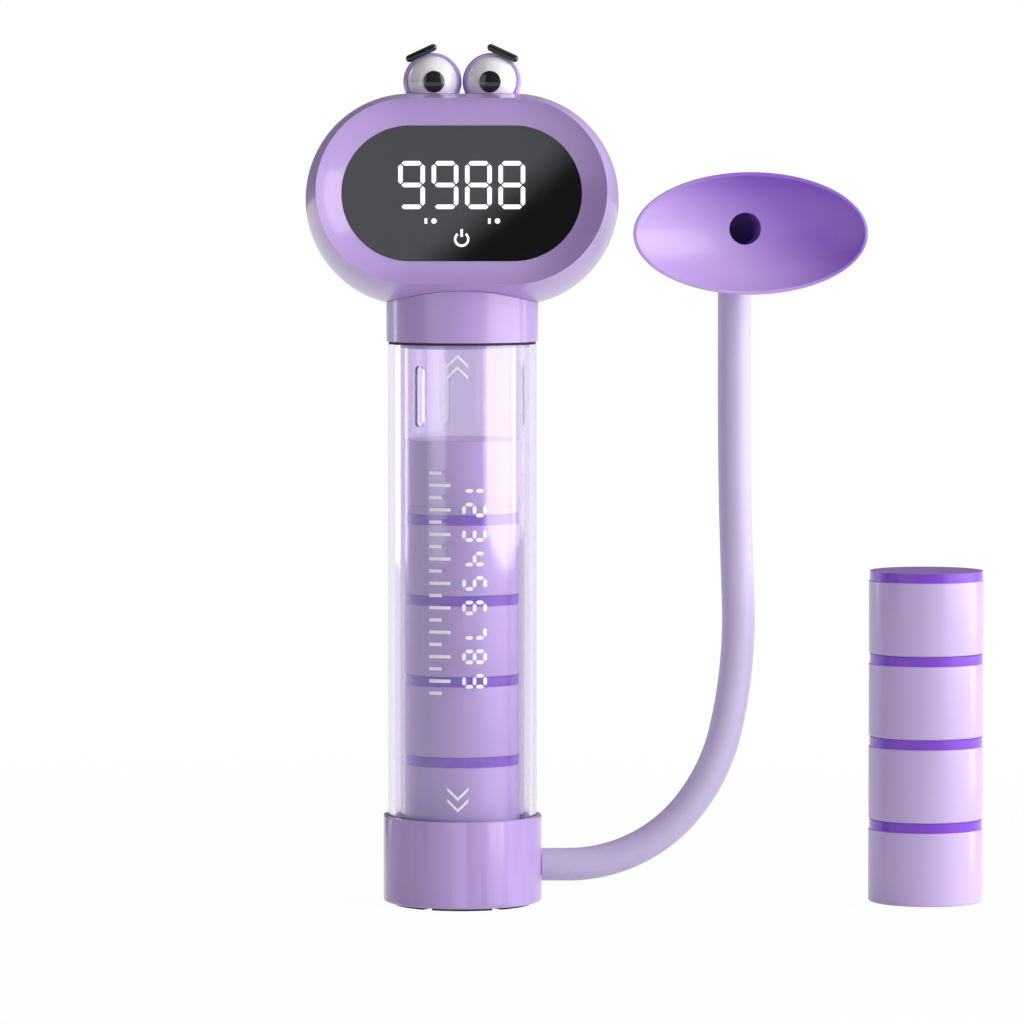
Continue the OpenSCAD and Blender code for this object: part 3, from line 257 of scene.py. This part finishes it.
# Colour property and surface values of each moulded, rubber or metal finish
FINISHES = {
    "satin_shell": ("shell", {"rough": 0.32, "coat": 0.35, "bump": 0.03}),
    "satin_weight": ("weight", {"rough": 0.34, "coat": 0.25, "bump": 0.03}),
    "satin_elbow": ("elbow", {"rough": 0.36, "coat": 0.2, "bump": 0.03}),
    "glossy_disc": ("disc", {"rough": 0.28, "coat": 0.5, "bump": 0.02}),
    "silicone_hose": ("hose", {"rough": 0.42, "bump": 0.06, "clouds": 40, "sheen": 0.1}),
    "silicone_bowl": ("bowl", {"rough": 0.36, "bump": 0.05, "clouds": 30, "coat": 0.15}),
    "white_silicone": ("silicone", {"rough": 0.5, "bump": 0.1}),
    "white_ink": ("print_white", {"shade": 0.96, "rough": 0.5, "bump": 0.05}),
    "white_gloss": ("white", {"rough": 0.25, "bump": 0.02}),
    "eye_white": ("eye", {"shade": 0.97, "rough": 0.2, "spread": 0.04, "coat": 0.5, "bump": 0.01}),
    "black_gloss": ("black", {"rough": 0.12, "spread": 0.04, "coat": 0.5, "bump": 0.01}),
    "black_rubber": ("black", {"rough": 0.75, "spread": 0.2, "bump": 0.25, "grain": 1400}),
    "filter_felt": ("felt", {"rough": 0.95, "bump": 0.8, "grain": 900, "sheen": 0.3}),
    "board_coating": ("board", {"shade": 0.7, "rough": 0.3, "clouds": 300, "bump": 0.1}),
    "cell_foil": ("foil", {"rough": 0.35, "metal": 0.9, "bump": 0.4, "grain": 500}),
    "turned_steel": ("steel", {"rough": 0.3, "spread": 0.15, "metal": 1.0, "bump": 0.05}),
    "gold_contact": ("gold", {"rough": 0.25, "metal": 1.0}),
}


def finish(name):
    """Material of a finish, made at its first use"""
    tone, looks = FINISHES[name]
    base = getattr(bpy.context.scene.trainer_colours, tone)
    return bpy.data.materials.get(name) or moulded(name, base, **looks)


def slant_fade(tree, middle, slant, reach):
    """Fade from 0 to 1 along a slant, over a reach on both sides of a middle"""
    place = put(tree, "TexCoord")
    move = put(tree, "VectorMath", {1: middle}, operation="SUBTRACT")
    along = put(tree, "VectorMath", {1: slant}, operation="DOT_PRODUCT")
    fade = put(tree, "MapRange", {"From Min": -reach, "From Max": reach}, interpolation_type="SMOOTHSTEP")
    tree.links.new(place.outputs["Object"], move.inputs[0])
    tree.links.new(move.outputs["Vector"], along.inputs[0])
    tree.links.new(along.outputs["Value"], fade.inputs["Value"])
    return fade.outputs["Result"]


def clear_plastic(name, tint, rough):
    """Clear moulded plastic with faint streaks in its gloss along the tube"""
    made, tree, shader = new_material(name, tint, 0.3)
    shader.inputs["Transmission Weight"].default_value = 1.0
    shader.inputs["IOR"].default_value = 1.49
    place = put(tree, "TexCoord")
    stretch = put(tree, "Mapping", {"Scale": STREAKS})
    streaks = put(tree, "TexNoise", {"Scale": 1.0, "Detail": 3})
    tone = put(tree, "Mix", {"A": dimmed(tint, 0.985), "B": (*tint, 1)}, data_type="RGBA")
    gloss = put(tree, "MapRange", {"To Min": rough * 0.6, "To Max": rough * 1.6})
    link = tree.links.new
    link(place.outputs["Object"], stretch.inputs["Vector"])
    link(stretch.outputs["Vector"], streaks.inputs["Vector"])
    link(streaks.outputs["Fac"], tone.inputs["Factor"])
    link(streaks.outputs["Fac"], gloss.inputs["Value"])
    link(tone.outputs["Result"], shader.inputs["Base Color"])
    link(gloss.outputs["Result"], shader.inputs["Roughness"])
    return made


def smoked_window(name, low, high):
    """Smoked window with a painted reflection: its tint fades to a light upper corner"""
    made, tree, shader = new_material(name, low)
    shader.inputs["Specular IOR Level"].default_value = 0.35
    fade = slant_fade(tree, WINDOW_REFLECTION_MIDDLE, WINDOW_REFLECTION_SLANT, WINDOW_REFLECTION_FADE)
    tone = put(tree, "Mix", {"A": (*low, 1), "B": (*high, 1)}, data_type="RGBA")
    gloss = put(tree, "MapRange", {"To Min": 0.16, "To Max": 0.26})
    link = tree.links.new
    link(fade, tone.inputs["Factor"])
    link(fade, gloss.inputs["Value"])
    link(tone.outputs["Result"], shader.inputs["Base Color"])
    link(gloss.outputs["Result"], shader.inputs["Roughness"])
    return made


def painted_shade_fade(made, painted_shade_colour, middle, slant, reach):
    """Fades a moulded material's colours to a painted shade along a slant through a middle"""
    tree = made.node_tree
    shader = tree.nodes["Principled BSDF"]
    surface = shader.inputs["Base Color"].links[0].from_socket
    tone = put(tree, "Mix", {"B": (*painted_shade_colour, 1)}, data_type="RGBA")
    link = tree.links.new
    link(slant_fade(tree, middle, slant, reach), tone.inputs["Factor"])
    link(surface, tone.inputs["A"])
    link(tone.outputs["Result"], shader.inputs["Base Color"])
    return made


def lit_mark(name, base, strength):
    """Mark that shines, a little uneven like a lit segment"""
    made, tree, shader = new_material(name, base)
    shader.inputs["Emission Strength"].default_value = strength
    shader.inputs["Roughness"].default_value = 0.4
    place = put(tree, "TexCoord")
    cells = put(tree, "TexNoise", {"Scale": 260})
    tone = put(tree, "Mix", {"A": dimmed(base, 0.94), "B": (*base, 1)}, data_type="RGBA")
    link = tree.links.new
    link(place.outputs["Object"], cells.inputs["Vector"])
    link(cells.outputs["Fac"], tone.inputs["Factor"])
    link(tone.outputs["Result"], shader.inputs["Base Color"])
    link(tone.outputs["Result"], shader.inputs["Emission Color"])
    return made


def pale_floor():
    """Pale floor that shows as white and keeps a faint shadow"""
    made, tree, shader = new_material("pale_floor", (0.9, 0.9, 0.9))
    shader.inputs["Base Color"].default_value = (0.9, 0.9, 0.9, 1)
    shader.inputs["Roughness"].default_value = 0.9
    shader.inputs["Specular IOR Level"].default_value = 0.1
    white = put(tree, "Emission")
    path = put(tree, "LightPath")
    seen = put(tree, "Math", operation="MAXIMUM")
    through = put(tree, "Math", operation="MAXIMUM")
    share = put(tree, "Math", operation="MULTIPLY")
    place = put(tree, "TexCoord")
    reach = put(tree, "VectorMath", operation="LENGTH")
    fade = put(tree, "MapRange", {"From Min": FLOOR_FADE[0], "From Max": FLOOR_FADE[1],
                                  "To Min": FLOOR_WHITE[0], "To Max": FLOOR_WHITE[1]})
    mix = put(tree, "MixShader")
    link = tree.links.new
    link(path.outputs["Is Camera Ray"], seen.inputs[0])
    link(path.outputs["Is Glossy Ray"], seen.inputs[1])
    link(seen.outputs[0], through.inputs[0])
    link(path.outputs["Is Transmission Ray"], through.inputs[1])
    link(through.outputs[0], share.inputs[0])
    link(place.outputs["Object"], reach.inputs[0])
    link(reach.outputs["Value"], fade.inputs["Value"])
    link(fade.outputs["Result"], share.inputs[1])
    link(share.outputs[0], mix.inputs["Fac"])
    link(shader.outputs[0], mix.inputs[1])
    link(white.outputs[0], mix.inputs[2])
    link(mix.outputs[0], tree.nodes["Material Output"].inputs["Surface"])
    return made


def white_room(fill):
    """White behind the trainer, and a room that is darker on the left for what it lights"""
    scene = bpy.context.scene
    scene.world = scene.world or bpy.data.worlds.new("room")
    scene.world.use_nodes = True
    tree = scene.world.node_tree
    tree.nodes.clear()
    place = put(tree, "TexCoord")
    parts = put(tree, "SeparateXYZ")
    side = put(tree, "MapRange", {"From Min": -ROOM_REACH, "From Max": ROOM_REACH,
                                  "To Min": fill * ROOM_LEFT, "To Max": fill * ROOM_RIGHT})
    dim = put(tree, "Background", {"Color": (0.97, 0.96, 1, 1)})
    white = put(tree, "Background", {"Color": (1, 1, 1, 1)})
    path = put(tree, "LightPath")
    seen = put(tree, "Math", operation="MAXIMUM")
    mix = put(tree, "MixShader")
    output = put(tree, "OutputWorld")
    link = tree.links.new
    link(place.outputs["Generated"], parts.inputs[0])
    link(parts.outputs["X"], side.inputs["Value"])
    link(side.outputs["Result"], dim.inputs["Strength"])
    link(path.outputs["Is Camera Ray"], seen.inputs[0])
    link(path.outputs["Is Transmission Ray"], seen.inputs[1])
    link(seen.outputs[0], mix.inputs["Fac"])
    link(dim.outputs[0], mix.inputs[1])
    link(white.outputs[0], mix.inputs[2])
    link(mix.outputs[0], output.inputs["Surface"])


# Handling of pieces

def nothing_selected():
    """Leaves edit mode and deselects every object"""
    if bpy.context.object and bpy.context.object.mode != "OBJECT":
        bpy.ops.object.mode_set(mode="OBJECT")
    bpy.ops.object.select_all(action="DESELECT")


def dress(node, material):
    """Gives a node of the frame its material and smooth curved faces"""
    piece = nodes[node]
    piece.data.materials.clear()
    piece.data.materials.append(material)
    piece.data.polygons.foreach_set("use_smooth", [True] * len(piece.data.polygons))
    weld = piece.modifiers.new("Joined faces", "WELD")
    weld.merge_threshold = WELD_GAP
    split = piece.modifiers.new("Sharp edges", "EDGE_SPLIT")
    split.split_angle = bpy.context.scene.trainer_detail.edge_angle
    split.use_edge_sharp = False
    return piece


def dress_all(finished):
    """Dresses the nodes that are listed under each finish"""
    for name, listed in finished.items():
        for node in listed:
            dress(node, finish(name))


def block(name, size, edge, material):
    """Block of a size with softened edges, shaped in edit mode"""
    nothing_selected()
    bpy.ops.mesh.primitive_cube_add(size=1, location=(0, 0, 0))
    piece = bpy.context.object
    piece.name = name
    bpy.ops.object.mode_set(mode="EDIT")
    bpy.ops.mesh.select_all(action="SELECT")
    bpy.ops.transform.resize(value=tuple(size))
    bpy.ops.mesh.bevel(offset=edge, segments=2, affect="EDGES")
    bpy.ops.object.mode_set(mode="OBJECT")
    piece.data.materials.append(material)
    return piece


def in_head(piece, place):
    """Sets a finished piece into the tilted head and puts its object at the origin"""
    detail = bpy.context.scene.trainer_detail
    nothing_selected()
    piece.select_set(True)
    bpy.context.view_layer.objects.active = piece
    tilt = Matrix.Rotation(-detail.head_tilt, 4, "X")
    piece.matrix_world = Matrix.Translation((0, 0, detail.head_z)) @ tilt @ Matrix.Translation(place)
    bpy.ops.object.transform_apply(location=True, rotation=True, scale=True)
    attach(piece, "tube")


def aim(piece, middle):
    """Turns a lamp or the camera towards a point"""
    piece.rotation_euler = (middle - piece.location).to_track_quat("-Z", "Y").to_euler()


# Operators, one for each group of pieces

class TRAINER_OT_base(bpy.types.Operator):
    """Dress the cup, its plate, sole, seat and small parts"""
    bl_idname = "trainer.base"
    bl_label = "Base"

    def execute(self, context):
        dress_all({
            "satin_shell": ("base_cup",),
            "satin_weight": ("base_plate", "tube_seat", "hose_spigot"),
            "black_rubber": ("foot_sole", "seat_o_ring", "tube_gasket"),
            "white_silicone": ("landing_ring",),
            "filter_felt": ("inlet_filter",),
            "turned_steel": ("base_screws",),
        })
        return {"FINISHED"}


class TRAINER_OT_tubes(bpy.types.Operator):
    """Dress the outer tube, the sleeve and the print on the tube"""
    bl_idname = "trainer.tubes"
    bl_label = "Clear tubes and print"

    def execute(self, context):
        tint = context.scene.trainer_colours.clear
        for node, (name, rough) in CLEAR_TUBES.items():
            clear = dress(node, clear_plastic(name, tint, rough))
            clear.visible_shadow = False
            clear.visible_diffuse = False
        dress_all({"white_ink": ("tube_scale", "flow_arrows")})
        return {"FINISHED"}


class TRAINER_OT_weights(bpy.types.Operator):
    """Dress the weights in the tube and the spare weights"""
    bl_idname = "trainer.weights"
    bl_label = "Weights"

    def execute(self, context):
        dress_all({
            "satin_weight": ("piston_head", "piston_seal"),
            "glossy_disc": ("tube_discs",),
            "turned_steel": ("tube_slugs",),
        })
        for number in range(1, 5):
            dress_all({
                "satin_weight": ("tube_weight_%d" % number, "spare_weight_%d" % number),
                "glossy_disc": ("spare_disc_%d" % number,),
                "turned_steel": ("spare_slug_%d" % number,),
            })
        return {"FINISHED"}


class TRAINER_OT_head(bpy.types.Operator):
    """Dress the head shells, the neck and the electronics inside"""
    bl_idname = "trainer.head"
    bl_label = "Head and neck"

    def execute(self, context):
        dress_all({
            "satin_shell": ("head_front_shell", "head_rear_shell", "neck_collar"),
            "black_rubber": ("neck_seal",),
            "white_silicone": ("top_bumper",),
            "board_coating": ("sensor_board", "display_board", "main_board"),
            "black_gloss": ("optical_sensors", "buzzer"),
            "white_gloss": ("digit_module", "ribbon_cable"),
            "turned_steel": ("head_screws", "touch_spring", "usb_socket"),
            "cell_foil": ("battery_cell",),
        })
        return {"FINISHED"}


class TRAINER_OT_display(bpy.types.Operator):
    """Dress the smoked window and the lit digits and marks"""
    bl_idname = "trainer.display"
    bl_label = "Display"

    def execute(self, context):
        tones = context.scene.trainer_colours
        # The window's light upper corner is a painted reflection
        dress("display_window", smoked_window("smoked_window", tones.window_low, tones.window_reflection))
        lit = lit_mark("lit_segment", tones.lit, LIT_STRENGTH)
        dress("digit_segments", lit)
        dress("indicator_marks", lit)
        return {"FINISHED"}


class TRAINER_OT_eyes(bpy.types.Operator):
    """Dress the eyes and the brows"""
    bl_idname = "trainer.eyes"
    bl_label = "Eyes and brows"

    def execute(self, context):
        dress_all({
            "satin_shell": ("eye_shells",),
            "eye_white": ("eyeballs",),
            "black_gloss": ("pupils", "brows"),
        })
        return {"FINISHED"}


class TRAINER_OT_breathing_line(bpy.types.Operator):
    """Dress the hose, the elbow and the oval mouthpiece"""
    bl_idname = "trainer.breathing_line"
    bl_label = "Hose and mouthpiece"

    def execute(self, context):
        low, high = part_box("mouth_funnel")
        painted_shade_colour = context.scene.trainer_colours.bowl_painted_shade
        # Painted shade: the mouthpiece darkens towards its upper right
        painted_shade_fade(finish("silicone_bowl"), painted_shade_colour, (low + high) / 2, BOWL_SHADE_SLANT, BOWL_SHADE_FADE)
        dress_all({
            "silicone_hose": ("hose",),
            "satin_elbow": ("mouth_elbow",),
            "silicone_bowl": ("mouth_funnel",),
        })
        return {"FINISHED"}


class TRAINER_OT_socket(bpy.types.Operator):
    """Add the tongue and the contacts inside the charging socket"""
    bl_idname = "trainer.socket"
    bl_label = "Socket tongue"

    def execute(self, context):
        detail = context.scene.trainer_detail
        tongue = block("socket_tongue", detail.tongue, detail.tongue_edge, finish("black_gloss"))
        in_head(tongue, (0, detail.tongue_back, 0))
        contacts = block("socket_contacts", detail.contact, detail.contact_edge, finish("gold_contact"))
        row = contacts.modifiers.new("Row", "ARRAY")
        row.count = detail.contact_count
        row.use_relative_offset = False
        row.use_constant_offset = True
        row.constant_offset_displace = (detail.contact_pitch, 0, 0)
        bpy.ops.object.modifier_apply(modifier=row.name)
        start = -(detail.contact_count - 1) / 2 * detail.contact_pitch
        lift = detail.tongue[2] / 2 + detail.contact[2] / 4
        in_head(contacts, (start, detail.tongue_back + detail.contact_back, lift))
        return {"FINISHED"}


class TRAINER_OT_stage(bpy.types.Operator):
    """Add the floor, the room, the lamps and the camera"""
    bl_idname = "trainer.stage"
    bl_label = "Stage"

    def execute(self, context):
        stage = context.scene.trainer_stage
        middle = Vector((stage.aim_x, 0, stage.aim_z))
        nothing_selected()
        bpy.ops.mesh.primitive_plane_add(size=FLOOR_SIZE, location=(0, 0, 0))
        floor = context.object
        floor.name = "floor"
        floor.data.materials.append(pale_floor())
        white_room(stage.fill)
        for name, (place, size, power) in LAMPS.items():
            nothing_selected()
            bpy.ops.object.light_add(type="AREA", location=place)
            lamp = context.object
            lamp.name = name
            lamp.data.shape = "RECTANGLE"
            lamp.data.size, lamp.data.size_y = size
            lamp.data.energy = getattr(stage, power)
            lamp.visible_camera = False
            aim(lamp, middle)
        nothing_selected()
        eye = Vector((stage.aim_x, -stage.distance, stage.eye_level))
        bpy.ops.object.camera_add(location=eye)
        camera = context.object
        aim(camera, middle)
        camera.data.sensor_width = SENSOR_WIDTH
        camera.data.lens = SENSOR_WIDTH * (middle - eye).length / stage.width
        camera.data.clip_end = VIEW_DEPTH
        context.scene.camera = camera
        context.scene.view_settings.view_transform = "Standard"
        return {"FINISHED"}


class TRAINER_PT_panel(bpy.types.Panel):
    """Buttons for each group of the trainer"""
    bl_idname = "TRAINER_PT_panel"
    bl_label = "Trainer"
    bl_space_type = "VIEW_3D"
    bl_region_type = "UI"
    bl_category = "Trainer"

    def draw(self, context):
        for piece in OPERATORS:
            self.layout.operator(piece.bl_idname)
        for group in (context.scene.trainer_colours, context.scene.trainer_stage, context.scene.trainer_detail):
            for name in group.__annotations__:
                self.layout.prop(group, name)


OPERATORS = (TRAINER_OT_stage, TRAINER_OT_base, TRAINER_OT_tubes, TRAINER_OT_weights, TRAINER_OT_head,
             TRAINER_OT_display, TRAINER_OT_eyes, TRAINER_OT_breathing_line, TRAINER_OT_socket)
CLASSES = (TrainerColours, TrainerStage, TrainerDetail, *OPERATORS, TRAINER_PT_panel)


def register():
    for kind in CLASSES:
        bpy.utils.register_class(kind)
    bpy.types.Scene.trainer_colours = PointerProperty(type=TrainerColours)
    bpy.types.Scene.trainer_stage = PointerProperty(type=TrainerStage)
    bpy.types.Scene.trainer_detail = PointerProperty(type=TrainerDetail)


def unregister():
    del bpy.types.Scene.trainer_detail
    del bpy.types.Scene.trainer_stage
    del bpy.types.Scene.trainer_colours
    for kind in reversed(CLASSES):
        bpy.utils.unregister_class(kind)


def main():
    """Builds every group in order"""
    register()
    bpy.ops.trainer.stage()
    bpy.ops.trainer.base()
    bpy.ops.trainer.tubes()
    bpy.ops.trainer.weights()
    bpy.ops.trainer.head()
    bpy.ops.trainer.display()
    bpy.ops.trainer.eyes()
    bpy.ops.trainer.breathing_line()
    bpy.ops.trainer.socket()


if __name__ == "__main__":
    main()
